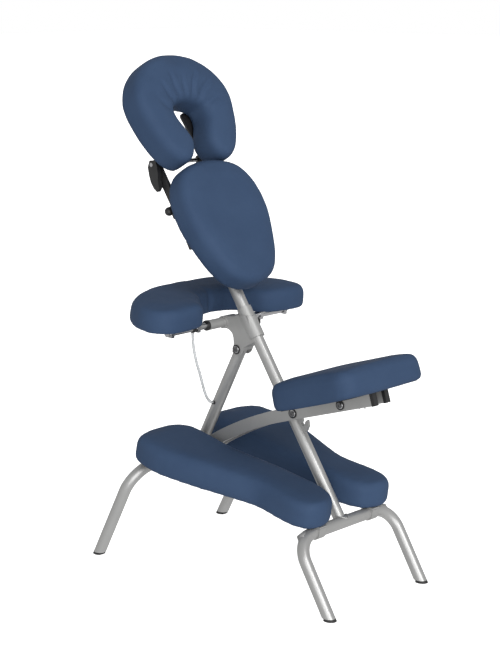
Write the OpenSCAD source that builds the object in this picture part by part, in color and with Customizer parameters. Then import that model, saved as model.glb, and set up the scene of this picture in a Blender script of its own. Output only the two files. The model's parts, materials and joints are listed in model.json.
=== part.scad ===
// Kneeling massage chair. Millimetres, +Z up, sitter faces +Y.

/* [Frame] */
// Tube outside diameter
tube_d = 28.6; // [25:0.1:32]
// Tube wall
tube_wall = 2; // [1.5:0.1:3]
// Front feet half spacing
front_x = 218; // [200:1:230]
// Rear feet half spacing
rear_x = 166; // [150:1:180]
// Lean of the front leg arch from vertical
front_lean = 28.2; // [20:0.1:35]
// Lean of the rear leg arch from vertical
rear_lean = 31.5; // [20:0.1:35]
// Front corner bend radius
front_bend = 72; // [60:1:90]
// Rear corner bend radius
rear_bend = 58; // [50:1:80]
// Stub tube half length for the arm rest rod
stub_half = 71; // [60:1:100]

/* [Seat] */
// Seat slope, rear end up
seat_tilt = 17.5; // [10:0.5:25]
// Seat cushion height
seat_t = 66; // [40:1:80]
// Seat half width
seat_w = 140; // [110:1:160]
// Seat half depth
seat_d = 124; // [100:1:150]

/* [Pads] */
// Chest pad lean from vertical
chest_tilt = 31.5; // [20:0.5:40]
// Chest pad height off its back
chest_t = 66; // [40:1:80]
// Face pad lean from vertical
face_tilt = 29; // [20:0.5:40]
// Face pad thickness
face_t = 76; // [50:1:80]
// Arm pad slope, front up
arm_tilt = 4; // [0:0.5:10]
// Arm pad thickness
arm_t = 58; // [40:1:70]
// Knee pad thickness
knee_t = 62; // [40:1:70]

/* [Hidden] */
$fn = 64;
yo = 3.9;
run = 0.05;
tr = tube_d / 2;
ti = tr - tube_wall;
alu = [0.62, 0.62, 0.61];
cast = [0.56, 0.56, 0.55];
steel = [0.75, 0.75, 0.76];
black = [0.06, 0.06, 0.06];
vinyl = [0.16, 0.22, 0.34];
wood = [0.62, 0.5, 0.36];
front_y = 352;
rear_y = -352;
front_s = 275.8;
rear_s = 194;
fc = [front_y - front_s * sin(front_lean), front_s * cos(front_lean)];
rc = [rear_y + rear_s * sin(rear_lean), rear_s * cos(rear_lean)];
pivot = [73.5, 525.3];
stub = [117, 586];
spine_dir = [0.5548, 0.832];
spine_deg = 33.7;
spine_o = [4.9, 534.4];
mast_o = [81, 663.6];
bolt1 = [-116, 404];
bolt2 = [-259, 449.1];
gap = 14.8;
beam_w = 12.7;
knee_deg = 9.36;
chest_o = [0, 150, 808];
face_o = [0, 292, 1037];
arm_o = [0, 196, 602.5];
tilt_y = 276.4;
tilt_z = 956.5;

function cr(a, b, c, d, t) = 0.5 * ((2 * b) + (c - a) * t + (2 * a - 5 * b + 4 * c - d) * t * t
  + (3 * b - a - 3 * c + d) * t * t * t);
function loop(p, n = 4) = let (m = len(p)) [for (i = [0:m - 1]) for (k = [0:n - 1])
  cr(p[(i + m - 1) % m], p[i], p[(i + 1) % m], p[(i + 2) % m], k / n)];
function both(h) = concat(h, [for (i = [len(h) - 1:-1:0]) if (h[i][0] > 0.01) [-h[i][0], h[i][1]]]);
function turn(p, i = 0) = i == len(p) ? 0 : p[i][0] * p[(i + 1) % len(p)][1]
  - p[(i + 1) % len(p)][0] * p[i][1] + turn(p, i + 1);
function inset(p, d) = let (m = len(p), e = d * sign(turn(p))) [for (i = [0:m - 1])
  let (t = p[(i + 1) % m] - p[(i + m - 1) % m]) p[i] - e * [t[1], -t[0]] / norm(t)];
function rrect(a, b, r) = concat(
  [for (k = [0:8]) [a - r + r * sin(k * 11.25), b - r + r * cos(k * 11.25)]],
  [for (k = [0:8]) [a - r + r * cos(k * 11.25), r - b - r * sin(k * 11.25)]],
  [for (k = [0:8]) [r - a - r * sin(k * 11.25), r - b - r * cos(k * 11.25)]],
  [for (k = [0:8]) [r - a - r * cos(k * 11.25), b - r + r * sin(k * 11.25)]]);

chest_half = [[0, 154], [44, 150], [84, 136], [112, 106], [126, 70], [130, 30], [126, -10],
  [110, -65], [90, -112], [58, -150], [0, -166]];
face_half = [[0, 165], [64, 153], [112, 122], [140, 84], [150, 48], [146, 10], [134, -34],
  [114, -76], [92, -101], [68, -112], [48, -103], [34, -82], [29, -62], [38, -36], [51, -10],
  [56, 10], [48, 30], [0, 42]];
arm_half = [[0, 112], [105, 98], [200, 50], [246, -14], [257, -66], [244, -102], [212, -118],
  [158, -116], [112, -102], [80, -62], [48, -34], [0, -22]];
knee_loop = [[36, -24], [42, -140], [36, -225], [30, -300], [29.5, -370], [32, -430], [52, -478],
  [98, -500], [140, -490], [158, -458], [160, -415], [154, -345], [168, -290], [186, -235],
  [208, -165], [226, -80], [217, -8], [195, 18], [150, 34], [100, 34], [58, 18]];

module slab(p, z0, z1) {
  translate([0, 0, z0])
    linear_extrude(z1 - z0)
      polygon(p);
}

module pad(p, t) {
  slab(inset(p, 4), 0, 8);
  slab(p, 8, t - 14);
  slab(inset(p, 3), t - 14, t - 6);
  slab(inset(p, 9), t - 6, t);
}

module lean(o, deg) {
  translate(o)
    rotate([90 - deg, 0, 0])
      children();
}

module rod(p, q, r, x = 0) {
  d = q - p;
  translate([x, p[0], p[1]])
    rotate([-atan2(d[0], d[1]), 0, 0])
      cylinder(h = norm(d), r = r);
}

module lateral(p, x0, x1, r) {
  translate([x0, p[0], p[1]])
    rotate([0, 90, 0])
      cylinder(h = x1 - x0, r = r);
}

module side(x0, x1) {
  translate([x0, 0, 0])
    rotate([90, 0, 90])
      linear_extrude(x1 - x0)
        children();
}

module both_sides() {
  children();
  mirror([1, 0, 0])
    children();
}

module arch_solid(x, s, b, r) {
  both_sides() {
    translate([x, -40, 0])
      rotate([-90, 0, 0])
        cylinder(h = s - b + 40, r = r);
    translate([x - b, s - b, 0])
      rotate_extrude(angle = 90)
        translate([b, 0])
          circle(r = r);
    translate([-0.01, s, 0])
      rotate([0, 90, 0])
        cylinder(h = x - b + 0.01, r = r);
  }
}

module front_plane() {
  translate([0, front_y, 0])
    rotate([90 + front_lean, 0, 0])
      children();
}

module rear_plane() {
  translate([0, rear_y, 0])
    rotate([90 - rear_lean, 0, 0])
      children();
}

module floor_cut(z) {
  translate([-400, -500, z - 200])
    cube([800, 1000, 200]);
}

module arch_tube(x, s, b) {
  difference() {
    arch_solid(x, s, b, tr);
    arch_solid(x, s, b, ti);
  }
}

module foot_plug(x, y, lean_deg) {
  both_sides()
    difference() {
      translate([x, y, 0])
        rotate([lean_deg, 0, 0]) {
          translate([0, 0, -20])
            cylinder(h = 26, r = tr);
          translate([0, 0, 2])
            cylinder(h = 30, r = ti);
        }
      floor_cut(0);
      difference() {
        translate([x, y, 0])
          rotate([lean_deg, 0, 0])
            difference() {
              translate([0, 0, -30])
                cylinder(h = 80, r = tr + 1);
              translate([0, 0, -31])
                cylinder(h = 82, r = ti);
            }
        floor_cut(6);
      }
    }
}

module rear_leg_arch() {
  color(alu)
    translate([0, yo, 0])
      difference() {
        rear_plane()
          arch_tube(rear_x, rear_s, rear_bend);
        floor_cut(6);
      }
}

module rear_foot_plugs() {
  color(black)
    translate([0, yo, 0])
      foot_plug(rear_x, rear_y, -rear_lean);
}

module front_leg_arch() {
  color(alu)
    translate([0, yo, 0])
      difference() {
        front_plane()
          arch_tube(front_x, front_s, front_bend);
        floor_cut(6);
      }
}

module front_foot_plugs() {
  color(black)
    translate([0, yo, 0])
      foot_plug(front_x, front_y, front_lean);
}

// along the spine: distance t up from spine_o
module on_spine(t) {
  translate([0, spine_o[0], spine_o[1]])
    rotate([-spine_deg, 0, 0])
      translate([0, 0, t])
        children();
}

module spine_tube() {
  color(alu)
    translate([0, yo, 0])
      difference() {
        on_spine(-462)
          cylinder(h = 502, r = tr);
        on_spine(-463)
          cylinder(h = 510, r = ti);
        lateral(rc, -60, 60, tr);
        translate([-100, rc[0] - 80, rc[1] - 90])
          cube([200, 160, 90]);
      }
}

module web_2d() {
  polygon(concat([[27, 547], [14, 552], [40, 611], [62, 611], [67, 609.5], [90, 603], [114, 600.7]],
    [for (a = [80:-20:-100]) stub + 15 * [cos(a), sin(a)]],
    [[106, 572], [98, 570], [88, 563], [84, 553], [83, 540], [84, 528], [88, 518], [80, 512],
      [66, 511], [56, 518], [48, 534]]));
}

module strut_sweep_2d() {
  translate(pivot)
    polygon([for (a = [-46:-8:-142]) 90 * [cos(a), sin(a)], [-14.6, 6], [0, 14.6], [14.6, 6]]);
  translate(pivot)
    circle(r = 14.6);
}

module hub_casting() {
  color(cast)
    translate([0, yo, 0])
      difference() {
        union() {
          difference() {
            on_spine(30)
              cylinder(h = 80, r = 19.2);
            translate([-30, -50, 611])
              cube([60, 200, 60]);
          }
          side(-17, 17)
            web_2d();
          lateral(stub, -stub_half, stub_half, 12);
          lateral(stub, -20, 20, 15);
        }
        on_spine(-5)
          cylinder(h = 45, r = tr);
        on_spine(39.9)
          cylinder(h = 80, r = tr + run);
        lateral(stub, -90, 90, 9.5);
        side(-14.45, 14.45)
          strut_sweep_2d();
        lateral(pivot, -30, 30, 4 + run);
      }
}

module sleeve_collar() {
  color(steel)
    translate([0, yo, 0])
      difference() {
        on_spine(75)
          cylinder(h = 33.5, r = 17.6);
        translate([-30, -50, 561.05])
          cube([60, 200, 50]);
        on_spine(70)
          cylinder(h = 45, r = tr + run);
      }
}

module stub_bushes() {
  color(black)
    translate([0, yo, 0])
      both_sides()
        difference() {
          union() {
            lateral(stub, stub_half, stub_half + 5, 12.6);
            lateral(stub, stub_half - 18, stub_half + 1, 9.5);
          }
          lateral(stub, 50, 100, 8 + run);
        }
}

module fold_bolt() {
  color(steel)
    translate([0, yo, 0]) {
      lateral(pivot, -19, 19, 4);
      both_sides()
        difference() {
          lateral(pivot, 19, 22.5, 6.6);
          lateral(pivot, 20.8, 24, 2.4, $fn = 6);
        }
    }
}

module fold_washers() {
  color(black)
    translate([0, yo, 0])
      both_sides()
        difference() {
          lateral(pivot, 17, 19, 11.5);
          lateral(pivot, 16, 20, 4 + run);
        }
}

module notch_2d() {
  circle(r = 7.4);
  polygon([[-6.4, -3.6], [-36, 38.9], [48, 55.6], [6.6, -3.2]]);
}

module seat_hook_plate() {
  color(alu)
    translate([0, yo, 0])
      difference() {
        side(-4, 4)
          difference() {
            polygon([[-96, 384], [-75, 415], [-106, 424], [-117, 395.5], [-124, 407], [-129, 403],
              [-122, 391], [-124, 384], [-122, 377], [-126, 371], [-131, 373.5], [-134, 383],
              [-138, 387], [-141, 386], [-143, 374], [-138, 362], [-127, 352], [-110, 360]]);
            translate(bolt1)
              notch_2d();
          }
        on_spine(-300)
          cylinder(h = 400, r = tr);
      }
}

module strut_tube() {
  d = (fc - pivot) / norm(fc - pivot);
  color(alu)
    translate([0, yo, 0])
      difference() {
        intersection() {
          rod(fc - 0.6 * d, pivot - 16 * d, tr);
          union() {
            lateral(pivot, -20, 20, tr - 0.2);
            rod(fc, pivot + 3 * d, tr + 2);
          }
        }
        rod(fc, pivot + 30 * d, ti);
        lateral(fc, -60, 60, tr);
        lateral(pivot, -30, 30, 4 + run);
      }
}

module tether_eye() {
  color(black)
    translate([0, yo, 0])
      difference() {
        translate([0, 151.9, 376])
          rotate([0, -72, 0])
            translate([0, 0, 10])
              cylinder(h = 10, r = 4.5);
        rod(fc, pivot, tr);
      }
}

function beam_path() = concat([[-346, 476.5], bolt1 + [24, -7.57]],
  [for (k = [1:12]) let (a = -17.5 - 18 * k / 12, r = 1079)
    bolt1 + [24, -7.57] + r * [sin(-17.5) - sin(a), cos(a) - cos(-17.5)]]);
function beam_side(p, d) = [for (i = [0:len(p) - 1])
  let (t = p[min(i + 1, len(p) - 1)] - p[max(i - 1, 0)]) p[i] + d * [-t[1], t[0]] / norm(t)];

module beam_2d() {
  p = beam_path();
  a = beam_side(p, 15);
  b = beam_side(p, -15);
  polygon(concat(a, [for (i = [len(b) - 1:-1:0]) b[i]]));
}

module seat_beams() {
  color(alu)
    translate([0, yo, 0])
      both_sides()
        difference() {
          union() {
            side(gap, gap + beam_w)
              beam_2d();
            lateral(fc, gap, gap + beam_w, 19);
          }
          lateral(fc, gap - 1, gap + beam_w + 1, tr + run);
          lateral(bolt1, gap - 1, gap + beam_w + 1, 4 + run);
          lateral(bolt2, gap - 1, gap + beam_w + 1, 4 + run);
        }
}

module beam_caps() {
  color(black)
    translate([0, yo, 0])
      both_sides()
        translate([0, -346, 476.5])
          rotate([-seat_tilt, 0, 0])
            translate([gap - 0.8, -9, -15.8])
              cube([beam_w + 1.6, 9, 30.7]);
}

module seat_bolts() {
  color(steel)
    translate([0, yo, 0])
      for (p = [bolt1, bolt2]) {
        lateral(p, -29.5, 29.5, 4);
        both_sides()
          difference() {
            lateral(p, 29.5, 33.3, 6.6);
            lateral(p, 31.5, 34.5, 2.4, $fn = 6);
          }
      }
}

module seat_washers() {
  color(black)
    translate([0, yo, 0])
      for (p = [bolt1, bolt2])
        both_sides()
          difference() {
            lateral(p, 27.5, 29.5, 11.5);
            lateral(p, 27, 30, 4 + run);
          }
}

module hook_spacer() {
  color(steel)
    translate([0, yo, 0])
      for (p = [bolt1, bolt2])
        difference() {
          lateral(p, -gap + 0.1, gap - 0.1, 7);
          lateral(p, -20, 20, 4 + run);
        }
}

module seat_frame() {
  translate([0, -262, 466.1])
    rotate([-seat_tilt, 0, 0])
      children();
}

module seat_board() {
  color(wood)
    translate([0, yo, 0])
      seat_frame()
        slab(rrect(seat_w - 12, seat_d - 12, 26), 0.1, 10);
}

module seat_cushion() {
  color(vinyl)
    translate([0, yo, 0])
      seat_frame()
        difference() {
          translate([0, 0, 0.1])
            pad(rrect(seat_w, seat_d, 36), seat_t);
          slab(rrect(seat_w - 12, seat_d - 12, 26), -1, 10);
        }
}

module accessory_hook() {
  color(steel)
    translate([0, yo, 0])
      difference() {
        translate([-20, -317, 449.6])
          rotate([90 - 18, 0, 0])
            rotate([0, 90, 0])
              rotate_extrude(angle = 200)
                translate([8, 0])
                  circle(r = 1.6, $fn = 16);
        side(-gap - beam_w, -gap)
          beam_2d();
      }
}

// knee rail frame: origin on the rear crossbar axis, y towards the front
module knee_frame() {
  translate([0, rc[0], rc[1]])
    rotate([knee_deg, 0, 0])
      children();
}

module knee_plan() {
  translate([0, 479.4, 0])
    children();
}

module knee_rails() {
  color(alu)
    translate([0, yo, 0])
      knee_frame()
        both_sides()
          translate([82, -16, 14.6])
            cube([24, 512, 4]);
}

module knee_saddles() {
  color(cast)
    translate([0, yo, 0])
      knee_frame()
        both_sides()
          difference() {
            union() {
              translate([82, -17, 0])
                cube([24, 34, 14.6]);
              translate([82, 0, 0])
                rotate([0, 90, 0])
                  cylinder(h = 24, r = 17);
            }
            translate([70, 0, 0])
              rotate([0, 90, 0])
                cylinder(h = 40, r = tr + run);
            translate([80, -20, 14.6])
              cube([28, 40, 5]);
          }
}

module knee_boards() {
  color(wood)
    translate([0, yo, 0])
      knee_frame()
        knee_plan()
          both_sides()
            slab(inset(loop(knee_loop, 3), 12), 18.7, 28);
}

module knee_pad_solid() {
  difference() {
    translate([0, 0, 18.7])
      pad(loop(knee_loop, 3), knee_t);
    slab(inset(loop(knee_loop, 3), 12), 10, 28);
  }
}

module knee_cushion_left() {
  color(vinyl)
    translate([0, yo, 0])
      knee_frame()
        knee_plan()
          mirror([1, 0, 0])
            knee_pad_solid();
}

module knee_cushion_right() {
  color(vinyl)
    translate([0, yo, 0])
      knee_frame()
        knee_plan()
          knee_pad_solid();
}

module knee_screws() {
  color(steel)
    translate([0, yo, 0])
      knee_frame()
        both_sides()
          for (y = [90, 250, 410])
            translate([94, y, 11.6])
              cylinder(h = 3, r1 = 3, r2 = 5);
}

module on_mast(m) {
  translate([0, mast_o[0], mast_o[1]])
    rotate([-spine_deg, 0, 0])
      translate([0, 0, m])
        children();
}

module mast_tube() {
  color(alu)
    translate([0, yo, 0])
      difference() {
        union() {
          on_spine(45)
            cylinder(h = 390, r = tr);
          on_spine(-110)
            cylinder(h = 160, r = ti - run);
        }
        on_spine(-111)
          cylinder(h = 540, r = 9.5);
      }
}

module mast_lock_knob() {
  color(black)
    translate([0, yo, 0])
      on_spine(70)
        rotate([0, 90, 0]) {
          translate([0, 0, 19.3])
            cylinder(h = 1.2, r = 5);
          translate([0, 0, 20.5])
            difference() {
              cylinder(h = 6, r = 9);
              for (a = [0:60:300])
                rotate([0, 0, a])
                  translate([10.5, 0, -1])
                    cylinder(h = 8, r = 2.6);
            }
        }
}

module chest_frame() {
  lean(chest_o, chest_tilt)
    children();
}

module chest_bracket() {
  color(black)
    translate([0, yo, 0])
      difference() {
        union() {
          chest_frame()
            translate([-60, -95, -4])
              cube([120, 190, 4]);
          chest_frame()
            translate([-92, -32, -4])
              cube([184, 112, 4]);
          both_sides()
            chest_frame()
              translate([76, -32, -34])
                cube([8, 22, 34]);
          on_mast(95)
            translate([-22, -22, -12])
              cube([44, 51, 24]);
          on_mast(240)
            translate([-22, -34, -12])
              cube([44, 63, 24]);
          both_sides()
            on_mast(227)
              translate([69, -34, -16])
                cube([20, 47, 32]);
        }
        chest_frame()
          translate([-150, -200, 0])
            cube([300, 400, 100]);
        on_spine(150)
          cylinder(h = 400, r = tr + run);
        both_sides()
          on_mast(0)
            translate([73.9, -11.1, 160])
              cube([8.2, 60, 400]);
        on_mast(227)
          translate([-100, 0, 0])
            rotate([0, 90, 0])
              cylinder(h = 28, r = 4 + run);
      }
}

module chest_board() {
  color(wood)
    translate([0, yo, 0])
      chest_frame()
        slab(inset(loop(both(chest_half)), 12), 0, 9);
}

module chest_cushion() {
  color(vinyl)
    translate([0, yo, 0])
      chest_frame()
        difference() {
          pad(loop(both(chest_half)), chest_t);
          slab(inset(loop(both(chest_half)), 12), -1, 9);
        }
}

module cradle_yoke() {
  color(black)
    translate([0, yo, 0])
      difference() {
        union() {
          both_sides() {
            on_mast(170)
              translate([74, -11, 0])
                cube([8, 22, 182]);
            lateral([tilt_y, tilt_z], 74, 82, 12);
          }
          on_mast(170)
            linear_extrude(20)
              polygon([[82, 9], [82, 14], [52, 35], [-52, 35], [-82, 14], [-82, 9], [-74, 9],
                [-74, 13.4], [-50, 30], [50, 30], [74, 13.4], [74, 9]]);
        }
        lateral([tilt_y, tilt_z], -100, 100, 5 + run);
      }
}

module cradle_lock_knob() {
  color(black)
    translate([0, yo, 0])
      on_mast(227)
        rotate([0, -90, 0])
          rotate_extrude() {
            translate([0, 82.6])
              square([4, 14]);
            intersection() {
              translate([0, 106])
                circle(r = 10.6);
              translate([0, 80])
                square([20, 50]);
            }
          }
}

module tilt_rod() {
  color(steel)
    translate([0, yo, 0]) {
      lateral([tilt_y, tilt_z], -97, 90, 5);
      lateral([tilt_y, tilt_z], 82.2, 88, 9);
    }
}

module cam_lever() {
  color(black)
    translate([0, yo, 0])
      difference() {
        side(-96, -84)
          polygon([[263, 968], [283, 966], [289, 950], [285, 931], [279, 914], [269, 900], [258, 893],
            [251, 904], [255, 920], [254, 935], [258, 955]]);
        lateral([tilt_y, tilt_z], -120, -60, 5 + run);
      }
}

module face_frame() {
  lean(face_o, face_tilt)
    children();
}

module face_straps() {
  color(black)
    translate([0, yo, 0])
      difference() {
        union() {
          face_frame()
            both_sides()
              translate([0, 0, -5])
                linear_extrude(5) {
                  translate([43, 26])
                    circle(r = 10);
                  polygon([[33.6, 22], [38, -2], [43, -20], [46, -50], [50, -72], [58, -89], [72, -89],
                    [72, -40], [68, 0], [60, 28], [44, 36]]);
                }
          both_sides()
            lateral([tilt_y, tilt_z], 62, 72, 11);
          face_frame()
            both_sides()
              translate([62, -89, -25])
                cube([10, 22, 21]);
        }
        lateral([tilt_y, tilt_z], -100, 100, 5 + run);
      }
}

module face_rivets() {
  color(steel)
    translate([0, yo, 0])
      face_frame()
        both_sides()
          for (p = [[42, 25], [54, -52]])
            translate([p[0], p[1], -7])
              cylinder(h = 2, r = 3.6);
}

module face_board() {
  color(wood)
    translate([0, yo, 0])
      face_frame()
        slab(inset(loop(both(face_half), 3), 11), 0, 9);
}

module face_cushion() {
  color(vinyl)
    translate([0, yo, 0])
      face_frame()
        difference() {
          pad(loop(both(face_half), 3), face_t);
          slab(inset(loop(both(face_half), 3), 11), -1, 9);
        }
}

module arm_frame() {
  translate(arm_o)
    rotate([arm_tilt, 0, 0])
      children();
}

module arm_rod() {
  color(steel)
    translate([0, yo, 0])
      lateral(stub, -205, 205, 8);
}

module arm_plates() {
  color(steel)
    translate([0, yo, 0])
      both_sides()
        difference() {
          union() {
            arm_frame()
              translate([104, -98, -3])
                cube([98, 50, 2.9]);
            for (x = [104, 190])
              arm_frame()
                translate([x, -91, -20.5])
                  cube([9, 22, 19]);
          }
          lateral(stub, 90, 220, 8.02);
          arm_frame()
            translate([114, -92, -20])
              cube([12, 30, 30]);
        }
}

module arm_screws() {
  color(steel)
    translate([0, yo, 0])
      arm_frame()
        both_sides()
          for (x = [130, 182])
            translate([x, -58, -5.5])
              cylinder(h = 2.5, r = 4);
}

module arm_board() {
  color(wood)
    translate([0, yo, 0])
      arm_frame()
        slab(inset(loop(both(arm_half)), 12), 0, 9);
}

module arm_cushion() {
  color(vinyl)
    translate([0, yo, 0])
      arm_frame()
        difference() {
          pad(loop(both(arm_half)), arm_t);
          slab(inset(loop(both(arm_half)), 12), -1, 9);
        }
}

module tether_ring() {
  color(black)
    translate([0, yo, 0])
      difference() {
        lateral(stub, -123.5, -116.5, 10.4);
        lateral(stub, -130, -110, 8 + run);
      }
}

tether_path = [[-120, 117, 575], [-119.5, 117.5, 566], [-117, 119, 548], [-112, 119.5, 524],
  [-104, 120, 498], [-94, 122, 476], [-79, 129, 450], [-60, 139, 420], [-45, 146, 401],
  [-33, 150.5, 390], [-25.5, 151.9, 384.4], [-19.1, 151.9, 382.3]];

function tdir(p, i) = let (d = p[min(i + 1, len(p) - 1)] - p[max(i - 1, 0)]) d / norm(d);

module sweep(p, r, n) {
  m = len(p);
  v = [for (i = [0:m - 1]) let (d = tdir(p, i), a = cross(d, [0, 1, 0]), u = a / norm(a),
    w = cross(d, u)) for (k = [0:n - 1]) p[i] + r * (cos(360 * k / n) * u + sin(360 * k / n) * w)];
  f = concat([[for (k = [0:n - 1]) k]], [[for (k = [n - 1:-1:0]) (m - 1) * n + k]],
    [for (i = [0:m - 2]) for (k = [0:n - 1])
      [i * n + k, (i + 1) * n + k, (i + 1) * n + (k + 1) % n, i * n + (k + 1) % n]]);
  polyhedron(v, f);
}

module tether_cord() {
  color([0.85, 0.86, 0.87])
    translate([0, yo, 0])
      sweep(tether_path, 3.5, 10);
}

rear_leg_arch();
rear_foot_plugs();
spine_tube();
hub_casting();
stub_bushes();
fold_bolt();
fold_washers();
seat_hook_plate();
sleeve_collar();
front_leg_arch();
front_foot_plugs();
strut_tube();
tether_eye();
seat_beams();
beam_caps();
seat_bolts();
seat_washers();
hook_spacer();
seat_board();
seat_cushion();
accessory_hook();
knee_rails();
knee_saddles();
knee_boards();
knee_cushion_left();
knee_cushion_right();
knee_screws();
mast_tube();
mast_lock_knob();
chest_bracket();
chest_board();
chest_cushion();
cradle_yoke();
cradle_lock_knob();
tilt_rod();
cam_lever();
face_straps();
face_rivets();
face_board();
face_cushion();
arm_rod();
arm_plates();
arm_screws();
arm_board();
arm_cushion();
tether_ring();
tether_cord();
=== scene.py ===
import json
import math
import bmesh
import bpy
import numpy as np
from mathutils import Matrix, Vector
from mathutils.kdtree import KDTree


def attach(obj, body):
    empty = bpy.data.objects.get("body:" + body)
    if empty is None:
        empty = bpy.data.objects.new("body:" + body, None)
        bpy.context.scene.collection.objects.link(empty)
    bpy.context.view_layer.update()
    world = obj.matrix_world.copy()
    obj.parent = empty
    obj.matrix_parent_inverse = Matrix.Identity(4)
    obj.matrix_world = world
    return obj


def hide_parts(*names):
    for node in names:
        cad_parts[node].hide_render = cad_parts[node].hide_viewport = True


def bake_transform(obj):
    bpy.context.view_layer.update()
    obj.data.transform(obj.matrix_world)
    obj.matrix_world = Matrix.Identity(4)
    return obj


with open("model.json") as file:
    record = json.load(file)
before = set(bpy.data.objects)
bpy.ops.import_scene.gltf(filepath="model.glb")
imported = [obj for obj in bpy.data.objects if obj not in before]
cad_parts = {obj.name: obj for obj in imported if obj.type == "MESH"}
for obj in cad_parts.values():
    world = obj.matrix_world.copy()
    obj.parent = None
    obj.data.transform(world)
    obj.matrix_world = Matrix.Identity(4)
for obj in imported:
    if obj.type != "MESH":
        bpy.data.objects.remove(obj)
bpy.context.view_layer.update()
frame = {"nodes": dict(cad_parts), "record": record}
nodes = frame["nodes"]
MM = 0.001
Y_SHIFT = 3.9  # from part.scad's working frame to the row frame, in mm
TUBE_RADIUS = 14.3

# Camera: the photograph's viewing direction, in degrees, and where it aims, in mm
AZIMUTH = -46.904
ELEVATION = 12.067
DISTANCE = 3926.6
AIM = (-28.9, 22.1, 574.1)
LENS = 90.26

# Lights: the world's strength, then name, azimuth, elevation, angular size in degrees and power
WORLD = 0.66
SUNS = (("key", -38, 8, 60, 2.1), ("edge", -13, 34, 22, 0.9))


def point(x, y, z):
    """A point of part.scad's working frame, in mm, as metres in the row frame."""
    return Vector((x, y + Y_SHIFT, z)) * MM


def make_camera():
    data = bpy.data.cameras.new("camera")
    data.lens = LENS
    data.sensor_width = 36
    camera = bpy.data.objects.new("camera", data)
    bpy.context.collection.objects.link(camera)
    a, e = math.radians(AZIMUTH), math.radians(ELEVATION)
    back = Vector((math.sin(a) * math.cos(e), -math.cos(a) * math.cos(e), math.sin(e)))
    camera.location = Vector(AIM) * MM + back * DISTANCE * MM
    camera.rotation_mode = "QUATERNION"
    camera.rotation_quaternion = (-back).to_track_quat("-Z", "Y")
    data.clip_start, data.clip_end = 0.1, 1000  # far enough to see all of the floor
    bpy.context.scene.camera = camera


def new_object(name, mesh):
    obj = bpy.data.objects.new(name, mesh)
    bpy.context.collection.objects.link(obj)
    return obj


def smooth(obj):
    for face in obj.data.polygons:
        face.use_smooth = True


def apply_modifiers(obj):
    graph = bpy.context.evaluated_depsgraph_get()
    mesh = bpy.data.meshes.new_from_object(obj.evaluated_get(graph))
    obj.modifiers.clear()
    obj.data = mesh


# ---------------------------------------------------------------- materials

def material(name):
    mat = bpy.data.materials.new(name)
    mat.use_nodes = True
    tree = mat.node_tree
    shader = tree.nodes["Principled BSDF"]
    return mat, tree, shader


def link(tree, a, b):
    tree.links.new(a, b)


def coords(tree, scale=(1, 1, 1)):
    """Object coordinates, in metres, through a mapping of that scale."""
    where = tree.nodes.new("ShaderNodeTexCoord")
    mapping = tree.nodes.new("ShaderNodeMapping")
    mapping.inputs["Scale"].default_value = scale
    link(tree, where.outputs["Object"], mapping.inputs["Vector"])
    return mapping.outputs["Vector"]


def noise(tree, vector, scale, detail=4, roughness=0.55):
    node = tree.nodes.new("ShaderNodeTexNoise")
    node.inputs["Scale"].default_value = scale
    node.inputs["Detail"].default_value = detail
    node.inputs["Roughness"].default_value = roughness
    link(tree, vector, node.inputs["Vector"])
    return node.outputs["Fac"]


def ramp(tree, value, stops):
    node = tree.nodes.new("ShaderNodeValToRGB")
    elements = node.color_ramp.elements
    while len(elements) < len(stops):
        elements.new(0.5)
    for element, (place, colour) in zip(elements, stops):
        element.position = place
        element.color = (*colour, 1)
    link(tree, value, node.inputs["Fac"])
    return node.outputs["Color"]


def bump(tree, shader, height, strength, distance, after=None):
    node = tree.nodes.new("ShaderNodeBump")
    node.inputs["Strength"].default_value = strength
    node.inputs["Distance"].default_value = distance
    link(tree, height, node.inputs["Height"])
    if after is not None:
        link(tree, after, node.inputs["Normal"])
    link(tree, node.outputs["Normal"], shader.inputs["Normal"])
    return node.outputs["Normal"]


def to_range(tree, value, low, high):
    node = tree.nodes.new("ShaderNodeMapRange")
    node.inputs["To Min"].default_value = low
    node.inputs["To Max"].default_value = high
    link(tree, value, node.inputs["Value"])
    return node.outputs["Result"]


def vinyl_material():
    mat, tree, shader = material("vinyl")
    vector = coords(tree)
    cloud = noise(tree, vector, 9, 3)
    colour = ramp(tree, cloud, [(0.3, (0.032, 0.057, 0.111)), (0.7, (0.037, 0.065, 0.124))])
    link(tree, colour, shader.inputs["Base Color"])
    rough = to_range(tree, noise(tree, vector, 60, 5), 0.62, 0.74)
    link(tree, rough, shader.inputs["Roughness"])
    shader.inputs["Specular IOR Level"].default_value = 0.1
    pebble = tree.nodes.new("ShaderNodeTexVoronoi")
    pebble.inputs["Scale"].default_value = 620
    pebble.feature = "DISTANCE_TO_EDGE"
    link(tree, vector, pebble.inputs["Vector"])
    grain = bump(tree, shader, pebble.outputs["Distance"], 0.12, 0.0006)
    bump(tree, shader, noise(tree, vector, 45, 6), 0.05, 0.002, grain)
    return mat


def metal_material(name, colour, metallic, rough_low, rough_high, grain=900):
    mat, tree, shader = material(name)
    vector = coords(tree)
    cloud = noise(tree, vector, 14, 4)
    darker = tuple(c * 0.93 for c in colour)
    link(tree, ramp(tree, cloud, [(0.3, darker), (0.7, colour)]), shader.inputs["Base Color"])
    rough = to_range(tree, noise(tree, vector, 70, 5), rough_low, rough_high)
    link(tree, rough, shader.inputs["Roughness"])
    shader.inputs["Metallic"].default_value = metallic
    fine = bump(tree, shader, noise(tree, vector, grain, 3), 0.012, 0.0002)
    bump(tree, shader, noise(tree, vector, 12, 2), 0.01, 0.001, fine)
    return mat


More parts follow.
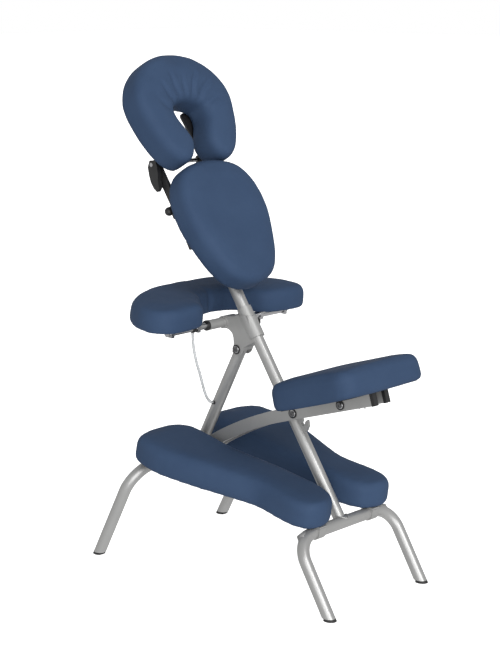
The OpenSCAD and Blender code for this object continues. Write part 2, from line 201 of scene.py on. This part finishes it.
def plastic_material(name, colour, rough, grain):
    mat, tree, shader = material(name)
    vector = coords(tree)
    cloud = noise(tree, vector, 25, 4)
    lighter = tuple(c * 1.25 + 0.002 for c in colour)
    link(tree, ramp(tree, cloud, [(0.3, colour), (0.75, lighter)]), shader.inputs["Base Color"])
    link(tree, to_range(tree, noise(tree, vector, 120, 4), rough - 0.06, rough + 0.08),
         shader.inputs["Roughness"])
    bump(tree, shader, noise(tree, vector, grain, 4), 0.14, 0.0004)
    return mat


def board_material():
    mat, tree, shader = material("board")
    vector = coords(tree, (1, 1, 9))
    grain = noise(tree, vector, 26, 8, 0.7)
    link(tree, ramp(tree, grain, [(0.35, (0.20, 0.13, 0.075)), (0.65, (0.42, 0.30, 0.18))]),
         shader.inputs["Base Color"])
    shader.inputs["Roughness"].default_value = 0.62
    bump(tree, shader, grain, 0.1, 0.001)
    return mat


def backing_material():
    mat, tree, shader = material("backing_cloth")
    vector = coords(tree)
    weave = tree.nodes.new("ShaderNodeTexVoronoi")
    weave.inputs["Scale"].default_value = 900
    link(tree, vector, weave.inputs["Vector"])
    cloud = noise(tree, vector, 40, 4)
    link(tree, ramp(tree, cloud, [(0.3, (0.012, 0.012, 0.013)), (0.7, (0.026, 0.026, 0.028))]),
         shader.inputs["Base Color"])
    shader.inputs["Roughness"].default_value = 0.9
    bump(tree, shader, weave.outputs["Distance"], 0.3, 0.0006)
    return mat


def cord_material():
    mat, tree, shader = material("cord")
    vector = coords(tree)
    lines = tree.nodes.new("ShaderNodeTexWave")
    lines.inputs["Scale"].default_value = 260
    lines.inputs["Distortion"].default_value = 1.5
    link(tree, vector, lines.inputs["Vector"])
    link(tree, ramp(tree, lines.outputs["Fac"], [(0.2, (0.66, 0.68, 0.70)), (0.8, (0.90, 0.91, 0.92))]),
         shader.inputs["Base Color"])
    shader.inputs["Roughness"].default_value = 0.12
    shader.inputs["Transmission Weight"].default_value = 0.75
    shader.inputs["IOR"].default_value = 1.3
    bump(tree, shader, lines.outputs["Fac"], 0.08, 0.0006)
    return mat


MATERIALS = {
    "aluminium_tube": metal_material("silver_tube", (0.385, 0.385, 0.38), 0.55, 0.33, 0.40),
    "cast_aluminium": metal_material("silver_casting", (0.35, 0.35, 0.345), 0.45, 0.38, 0.5, 500),
    "bright_steel": metal_material("bright_steel", (0.5, 0.5, 0.51), 1.0, 0.18, 0.28),
    "black_plastic": plastic_material("black_plastic", (0.010, 0.010, 0.011), 0.4, 1400),
    "rubber": plastic_material("black_rubber", (0.012, 0.012, 0.012), 0.66, 900),
    "vinyl": vinyl_material(),
    "board": board_material(),
    "cord": cord_material(),
}
BACKING = backing_material()
BOLT_STEEL = metal_material("bolt_steel", (0.16, 0.16, 0.165), 1.0, 0.25, 0.35)


def paint(obj, slot):
    obj.data.materials.clear()
    obj.data.materials.append(MATERIALS[slot])


def paint_cad():
    slots = {s["node"]: s["material_slot"] for s in frame["record"]["subparts"]}
    for name, obj in nodes.items():
        for place in obj.material_slots:
            place.link = "OBJECT"
            place.material = MATERIALS[slots[name]]
            if slots[name] == "board":
                place.material = BACKING
            elif name in ("fold_bolt", "seat_bolts"):
                place.material = BOLT_STEEL


# Rounded edges: how far, in mm, each hard CAD edge is softened
EDGES = {"hub_casting": 1.6, "seat_beams": 1.2, "beam_caps": 5, "cam_lever": 3, "chest_bracket": 1.2,
         "cradle_yoke": 1.5, "face_straps": 1, "knee_saddles": 1, "knee_rails": 0.8, "arm_plates": 0.6,
         "seat_hook_plate": 0.8, "fold_bolt": 0.8, "seat_bolts": 0.8, "fold_washers": 0.7,
         "seat_washers": 0.7, "stub_bushes": 1, "sleeve_collar": 0.8, "mast_lock_knob": 1}


def round_edges():
    for name, width in EDGES.items():
        bevel = nodes[name].modifiers.new("edges", "BEVEL")
        bevel.width = width * MM
        bevel.segments = 3
        bevel.limit_method = "ANGLE"
        bevel.angle_limit = math.radians(35)
        bevel.use_clamp_overlap = True


# ---------------------------------------------------------------- cord

CORD_ROUTE = [(-120, 117, 575), (-119.5, 117.5, 566), (-117, 119, 548), (-112, 119.5, 524),
              (-104, 120, 498), (-94, 122, 476), (-79, 129, 450), (-60, 139, 420), (-45, 146, 401),
              (-33, 150.5, 390), (-25.5, 151.9, 384.4), (-19.1, 151.9, 382.3)]
CORD_RADIUS = 3.5
CORD_POINTS_PER_SPAN = 3


def curve_through(points, per_span):
    """Catmull-Rom points through a list of vectors."""
    ends = [points[0] * 2 - points[1]] + list(points) + [points[-1] * 2 - points[-2]]
    out = []
    for a, b, c, d in zip(ends, ends[1:], ends[2:], ends[3:]):
        for k in range(per_span):
            t = k / per_span
            out.append(0.5 * (2 * b + (c - a) * t + (2 * a - 5 * b + 4 * c - d) * t * t
                              + (3 * b - a - 3 * c + d) * t ** 3))
    return out + [points[-1]]


def tube(name, route, radius, sides=20):
    """A mesh tube with closed ends along a list of vectors."""
    bm = bmesh.new()
    rings = []
    side = Vector((0, 1, 0))
    for i, p in enumerate(route):
        ahead = (route[min(i + 1, len(route) - 1)] - route[max(i - 1, 0)]).normalized()
        side = (side - ahead * side.dot(ahead)).normalized()
        other = ahead.cross(side)
        ring = [bm.verts.new(p + radius * (math.cos(a) * side + math.sin(a) * other))
                for a in (math.tau * k / sides for k in range(sides))]
        rings.append(ring)
    for a, b in zip(rings, rings[1:]):
        for k in range(sides):
            bm.faces.new((a[k], a[(k + 1) % sides], b[(k + 1) % sides], b[k]))
    bm.faces.new(rings[0][::-1])
    bm.faces.new(rings[-1])
    mesh = bpy.data.meshes.new(name)
    bm.to_mesh(mesh)
    bm.free()
    return new_object(name, mesh)


def make_cord():
    route = curve_through([point(*p) for p in CORD_ROUTE], CORD_POINTS_PER_SPAN)
    obj = tube("tether", route, CORD_RADIUS * MM)
    smooth(obj)
    paint(obj, "cord")
    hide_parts("tether_cord")
    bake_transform(obj)


# ---------------------------------------------------------------- pads

def lean_frame(origin, degrees):
    """Local x across, y up the pad, z out of its face towards the sitter."""
    return Matrix.Translation(point(*origin)) @ Matrix.Rotation(math.radians(90 - degrees), 4, "X")


def flat_frame(origin, degrees):
    """Local x across, y to the front, z out of the pad's top."""
    return Matrix.Translation(point(*origin)) @ Matrix.Rotation(math.radians(degrees), 4, "X")


CHEST = lean_frame((0, 150, 808), 31.5)
FACE = lean_frame((0, 292, 1037), 29)
ARM = flat_frame((0, 196, 602.5), 4)
SEAT = flat_frame((0, -262, 466.1), -17.5)
KNEE = flat_frame((0, -251, 165.2), 9.36) @ Matrix.Translation((0, 0, 18.7 * MM))


def merged_copy(name, names):
    bm = bmesh.new()
    for n in names:
        bm.from_mesh(nodes[n].data)
    mesh = bpy.data.meshes.new(name)
    bm.to_mesh(mesh)
    bm.free()
    return new_object(name, mesh)


def coordinates(obj):
    flat = np.empty(len(obj.data.vertices) * 3)
    obj.data.vertices.foreach_get("co", flat)
    return flat.reshape(-1, 3)


def set_coordinates(obj, co):
    obj.data.vertices.foreach_set("co", co.ravel())
    obj.data.update()


def normals(obj):
    flat = np.empty(len(obj.data.vertices) * 3)
    obj.data.vertices.foreach_get("normal", flat)
    return flat.reshape(-1, 3)


def local(co, place):
    inverse = np.array(place.inverted())
    return co @ inverse[:3, :3].T + inverse[:3, 3]


def evened(obj, field, rounds):
    """A field of vectors on the mesh, averaged over its neighbours again and again."""
    ends = np.empty(len(obj.data.edges) * 2, dtype=np.int32)
    obj.data.edges.foreach_get("vertices", ends)
    a, b = ends[0::2], ends[1::2]
    total = len(field)
    count = np.bincount(ends, minlength=total)[:, None]
    for _ in range(rounds):
        near = np.stack([np.bincount(a, field[b, k], total) + np.bincount(b, field[a, k], total)
                         for k in range(3)], axis=1)
        field = 0.5 * field + 0.5 * near / count
    return field


CLOTH_FRAMES = 20


def stuffed(name, names, place, voxel=4.5, rounds=8, pressure=4.0, cap=5.0, back=9.0, grow=1.5):
    """A cushion grown from its CAD solid: remeshed, softened, then blown up by a short cloth simulation.

    voxel, cap, back and grow are in mm: the remesh size, how far the simulation may move a point, the
    height under which the pad is held still, and how far its skin is pushed out at the end."""
    obj = merged_copy(name, names)
    remesh = obj.modifiers.new("remesh", "REMESH")
    remesh.mode = "VOXEL"
    remesh.voxel_size = voxel * MM
    soften = obj.modifiers.new("soften", "SMOOTH")
    soften.factor = 0.5
    soften.iterations = rounds
    apply_modifiers(obj)
    start = coordinates(obj)
    height = local(start, place)[:, 2]
    held = obj.vertex_groups.new(name="held")
    for i in np.nonzero(height < back * MM)[0]:
        held.add([int(i)], 1.0, "REPLACE")
    cloth = obj.modifiers.new("cloth", "CLOTH")
    cloth.settings.use_pressure = True
    cloth.settings.uniform_pressure_force = pressure
    cloth.settings.effector_weights.gravity = 0
    cloth.settings.vertex_group_mass = "held"
    cloth.settings.quality = 5
    cloth.settings.tension_stiffness = 15
    cloth.settings.bending_stiffness = 0.5
    cloth.point_cache.frame_start = 1
    cloth.point_cache.frame_end = CLOTH_FRAMES
    scene = bpy.context.scene
    for f in range(1, CLOTH_FRAMES + 1):
        scene.frame_set(f)
    apply_modifiers(obj)
    moved = coordinates(obj) - start
    far = np.linalg.norm(moved, axis=1)
    scale = np.minimum(1, cap * MM / np.maximum(far, 1e-9))
    set_coordinates(obj, start + evened(obj, moved * scale[:, None], 25))
    scene.frame_set(1)
    set_coordinates(obj, coordinates(obj) + evened(obj, normals(obj), 6) * grow * MM)
    finer = obj.modifiers.new("finer", "SUBSURF")
    finer.levels = finer.render_levels = 1
    apply_modifiers(obj)
    smooth(obj)
    paint(obj, "vinyl")
    return obj


def sculpt(obj, place, height):
    """Moves each point along its normal by height(x, y, z) in mm, in the pad's own frame in mm."""
    co = coordinates(obj)
    p = local(co, place) / MM
    set_coordinates(obj, co + normals(obj) * height(p[:, 0], p[:, 1], p[:, 2])[:, None] * MM)


def back_cloth(obj, place, margin=16):
    """Black cloth stapled under the pad, inside the turned-over vinyl."""
    obj.data.materials.append(BACKING)
    inverse = np.array(place.inverted())
    height = local(coordinates(obj), place)[:, 2] / MM
    facing = normals(obj) @ inverse[2, :3]
    rim = np.nonzero((facing > -0.6) & (height < 12))[0]
    tree = KDTree(len(rim))
    for n, i in enumerate(rim):
        tree.insert(obj.data.vertices[int(i)].co, n)
    tree.balance()
    for face in obj.data.polygons:
        if all(facing[i] < -0.8 for i in face.vertices) and tree.find(face.center)[2] > margin * MM:
            face.material_index = 1


def bell(x, width):
    return np.exp(-(x / width) ** 2)


def finish_pad(obj, place, body, replaced):
    back_cloth(obj, place)
    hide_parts(*replaced)
    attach(obj, body)


# Each fold: its angle in degrees, where it starts and ends from the fan's centre, depth and width in mm
FACE_FOLDS = ((-64, 62, 126, 2.4, 7.5), (-42, 58, 132, 2.8, 6.5), (-22, 56, 136, 2.4, 6),
              (-3, 54, 116, 2.0, 5.5), (18, 55, 138, 2.8, 6), (39, 58, 142, 3.0, 6.5),
              (62, 62, 128, 2.6, 7.5))


def face_folds(x, y, z):
    """Vinyl gathered round the nose opening: folds that fan out from its top."""
    out = np.zeros_like(x)
    around = np.degrees(np.arctan2(x, y + 10))
    away = np.hypot(x, y + 10)
    for angle, start, end, depth, width in FACE_FOLDS:
        off = np.radians(around - angle - 3 * np.sin(away / 17)) * away
        along = np.clip((away - start) / 14, 0, 1) * np.clip((end - away) / 30, 0, 1)
        out -= depth * bell(off, width) * along
        out += 0.5 * depth * bell(off - 1.9 * width, width) * along
    return out * np.clip((z - 12) / 20, 0, 1)


def arm_folds(x, y, z):
    """Vinyl gathered on the inner wall of the crescent."""
    inner = bell(np.hypot(x * 0.75, y + 104) - 80, 22)
    waves = np.sin(x / 7.5 + 0.6 * np.sin(x / 31)) + 0.5 * np.sin(x / 3.9 + 1)
    return 1.3 * waves * inner * bell(x, 95) * np.clip((z - 4) / 16, 0, 1)


def shifted(obj, place, move):
    """Moves each point by move(x, y, z, down) in mm along the pad's own z, evened over the mesh."""
    co = coordinates(obj)
    p = local(co, place) / MM
    up = np.array(place)[:3, 2]
    down = normals(obj) @ up < -0.8
    rise = move(p[:, 0], p[:, 1], p[:, 2], down)
    set_coordinates(obj, co + evened(obj, rise[:, None] * up[None, :], 14) * MM)


def arm_drop(x, y, z, down):
    """The pad's skin hangs a little below its board; the flat underside stays on it."""
    return np.where(down & (z < 4), 0.0, -7.0)


def seat_corners(x, y, z, down):
    """The seat's corners are pulled down on top and tucked up underneath."""
    corner = np.clip((np.abs(x) / 140 + np.abs(y) / 124 - 1.25) / 0.6, 0, 1)
    return corner * np.where(z < 33, 2.0, -5.0)


def make_pads():
    face = stuffed("face_pad", ["face_cushion", "face_board"], FACE,
                   voxel=4, rounds=30, pressure=7, cap=9, grow=3)
    sculpt(face, FACE, face_folds)
    finish_pad(face, FACE, "face_rest", ["face_cushion"])
    chest = stuffed("chest_pad", ["chest_cushion", "chest_board"], CHEST,
                    rounds=14, pressure=3, cap=3, grow=2)
    finish_pad(chest, CHEST, "mast", ["chest_cushion"])
    arm = stuffed("arm_pad", ["arm_cushion", "arm_board"], ARM,
                  rounds=22, pressure=5, cap=5, grow=2)
    sculpt(arm, ARM, arm_folds)
    shifted(arm, ARM, arm_drop)
    finish_pad(arm, ARM, "arm_rest", ["arm_cushion"])
    seat = stuffed("seat_pad", ["seat_cushion", "seat_board"], SEAT,
                   rounds=7, pressure=3, cap=2, grow=0.6)
    shifted(seat, SEAT, seat_corners)
    finish_pad(seat, SEAT, "seat", ["seat_cushion"])
    for side in ("left", "right"):
        knee = stuffed("knee_pad_" + side, ["knee_cushion_" + side, "knee_boards"], KNEE,
                       rounds=14, pressure=4, cap=4, grow=1.5)
        finish_pad(knee, KNEE, "knee_rest", ["knee_cushion_" + side])


# ---------------------------------------------------------------- small hardware

def lathe(name, profile, sides=40):
    """A surface of revolution about local Z through (radius, height) pairs in mm, with closed ends."""
    bm = bmesh.new()
    rings = []
    for radius, height in profile:
        rings.append([bm.verts.new((radius * MM * math.cos(a), radius * MM * math.sin(a), height * MM))
                      for a in (math.tau * k / sides for k in range(sides))])
    for a, b in zip(rings, rings[1:]):
        for k in range(sides):
            bm.faces.new((a[k], a[(k + 1) % sides], b[(k + 1) % sides], b[k]))
    bm.faces.new(rings[0][::-1])
    bm.faces.new(rings[-1])
    mesh = bpy.data.meshes.new(name)
    bm.to_mesh(mesh)
    bm.free()
    return new_object(name, mesh)


def prism(name, outline, low, high, place, edge):
    """A flat plate: an outline in mm in the place's own plane, given a thickness and rounded edges."""
    bm = bmesh.new()
    bottom = [bm.verts.new((x * MM, y * MM, low * MM)) for x, y in outline]
    top = [bm.verts.new((x * MM, y * MM, high * MM)) for x, y in outline]
    bm.faces.new(bottom[::-1])
    bm.faces.new(top)
    for k in range(len(outline)):
        after = (k + 1) % len(outline)
        bm.faces.new((bottom[k], bottom[after], top[after], top[k]))
    bmesh.ops.recalc_face_normals(bm, faces=bm.faces)
    bmesh.ops.bevel(bm, geom=list(bm.edges), offset=edge * MM, segments=3, affect="EDGES",
                    clamp_overlap=True)
    mesh = bpy.data.meshes.new(name)
    bm.to_mesh(mesh)
    bm.free()
    obj = new_object(name, mesh)
    obj.matrix_world = place
    smooth(obj)
    return obj


# The rear leg arch's own plane, and the corner piece's outline in it
REAR = lean_frame((0, -352, 0), 31.5)
GUSSET = [(80, 196), (96, 206), (120, 207), (150, 200),
          (153, 177), (138, 188), (123.5, 194), (108, 196)]


def make_gussets():
    """The folded corner pieces welded over the rear bends, under the knee pads."""
    for side, name in ((-1, "left"), (1, "right")):
        plate = prism("corner_gusset_" + name, [(side * x, y) for x, y in GUSSET], -12, 8, REAR, 1.2)
        paint(plate, "aluminium_tube")
        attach(plate, "rear_frame")


def make_weld(name, body, foot, along):
    """A rippled weld bead where a tube stands on a crossbar of its own size.

    foot and along are (y, z), in mm: where the two middle lines meet, and the tube's direction."""
    axis = Vector((0, *along)).normalized()
    across = axis.cross(Vector((1, 0, 0)))
    bm = bmesh.new()
    rings = []
    steps, sides = 120, 10
    for i in range(steps):
        a = math.tau * i / steps
        out = math.cos(a) * Vector((1, 0, 0)) + math.sin(a) * across
        rise = math.hypot(TUBE_RADIUS * math.cos(a), 3)
        middle = point(0, *foot) + (out * TUBE_RADIUS + axis * rise) * MM
        size = (1.7 + 0.25 * math.sin(a * 24)) * MM
        rings.append([bm.verts.new(middle + size * (math.cos(b) * out + math.sin(b) * axis))
                      for b in (math.tau * k / sides for k in range(sides))])
    for i in range(steps):
        one, two = rings[i], rings[(i + 1) % steps]
        for k in range(sides):
            bm.faces.new((one[k], one[(k + 1) % sides], two[(k + 1) % sides], two[k]))
    bmesh.ops.recalc_face_normals(bm, faces=bm.faces)
    mesh = bpy.data.meshes.new(name)
    bm.to_mesh(mesh)
    bm.free()
    bead = new_object(name, mesh)
    smooth(bead)
    paint(bead, "aluminium_tube")
    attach(bead, body)


def make_welds():
    make_weld("weld_spine_foot", "rear_frame", (-250.63, 165.41), (0.5548, 0.832))
    make_weld("weld_strut_foot", "front_frame", (221.67, 243.06), (73.5 - 221.67, 525.3 - 243.06))


# Cross bolts: name, body, y and z of the axis, and how far out each washer's face is, in mm
BOLTS = (("fold", "rear_frame", 73.5, 525.3, 19.0),
         ("front_bolt", "seat", -116, 404, 29.5),
         ("back_bolt", "seat", -259, 449.1, 29.5))


def make_bolt_faces():
    """A thin bright shoulder between each black washer and its bolt head."""
    for name, body, y, z, x in BOLTS:
        for side in (-1, 1):
            ring = lathe(f"{name}_shoulder_{'left' if side < 0 else 'right'}",
                         [(6.4, -0.2), (8.7, -0.2), (8.7, 0.5), (8.2, 0.9), (6.4, 1.1)])
            ring.matrix_world = (Matrix.Translation(point(side * x, y, z))
                                 @ Matrix.Rotation(math.radians(90 * side), 4, "Y"))
            smooth(ring)
            paint(ring, "bright_steel")
            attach(ring, body)


# ---------------------------------------------------------------- stage

def make_world():
    """A white studio: brighter from below than overhead, plain white where the camera looks past the
    chair.
    """
    world = bpy.data.worlds.new("world")
    bpy.context.scene.world = world
    world.use_nodes = True
    tree = world.node_tree
    background = tree.nodes["Background"]
    background.inputs["Color"].default_value = (1, 1, 1, 1)
    where = tree.nodes.new("ShaderNodeTexCoord")
    axes = tree.nodes.new("ShaderNodeSeparateXYZ")
    link(tree, where.outputs["Generated"], axes.inputs["Vector"])
    sky = tree.nodes.new("ShaderNodeMapRange")
    sky.inputs["From Min"].default_value = -1
    sky.inputs["From Max"].default_value = 1
    sky.inputs["To Min"].default_value = WORLD * 1.15
    sky.inputs["To Max"].default_value = WORLD * 0.75
    link(tree, axes.outputs["Z"], sky.inputs["Value"])
    path = tree.nodes.new("ShaderNodeLightPath")
    choose = tree.nodes.new("ShaderNodeMix")
    choose.inputs["B"].default_value = 1.0
    link(tree, path.outputs["Is Camera Ray"], choose.inputs["Factor"])
    link(tree, sky.outputs["Result"], choose.inputs["A"])
    link(tree, choose.outputs["Result"], background.inputs["Strength"])


def make_suns():
    for name, azimuth, elevation, angle, power in SUNS:
        light = bpy.data.lights.new(name, "SUN")
        light.energy = power
        light.angle = math.radians(angle)
        lamp = bpy.data.objects.new(name, light)
        bpy.context.collection.objects.link(lamp)
        a, e = math.radians(azimuth), math.radians(elevation)
        back = Vector((math.sin(a) * math.cos(e), -math.cos(a) * math.cos(e), math.sin(e)))
        lamp.rotation_mode = "QUATERNION"
        lamp.rotation_quaternion = (-back).to_track_quat("-Z", "Y")


def make_floor():
    """A plain white floor, lit to the same white as the backdrop."""
    bm = bmesh.new()
    bmesh.ops.create_grid(bm, x_segments=1, y_segments=1, size=30)
    mesh = bpy.data.meshes.new("floor")
    bm.to_mesh(mesh)
    bm.free()
    floor = new_object("floor", mesh)
    floor.location.z = -0.0004
    mat, tree, shader = material("floor")
    shader.inputs["Base Color"].default_value = (0.85, 0.85, 0.85, 1)
    shader.inputs["Roughness"].default_value = 0.9
    shader.inputs["Emission Color"].default_value = (1, 1, 1, 1)
    shader.inputs["Emission Strength"].default_value = 0.9
    floor.data.materials.append(mat)
    floor.visible_diffuse = floor.visible_glossy = floor.visible_transmission = False
    floor.visible_shadow = False


make_camera()
make_cord()
paint_cad()
round_edges()
make_pads()
make_bolt_faces()
make_gussets()
make_welds()
make_world()
make_suns()
make_floor()
bpy.context.scene.view_settings.view_transform = "Standard"
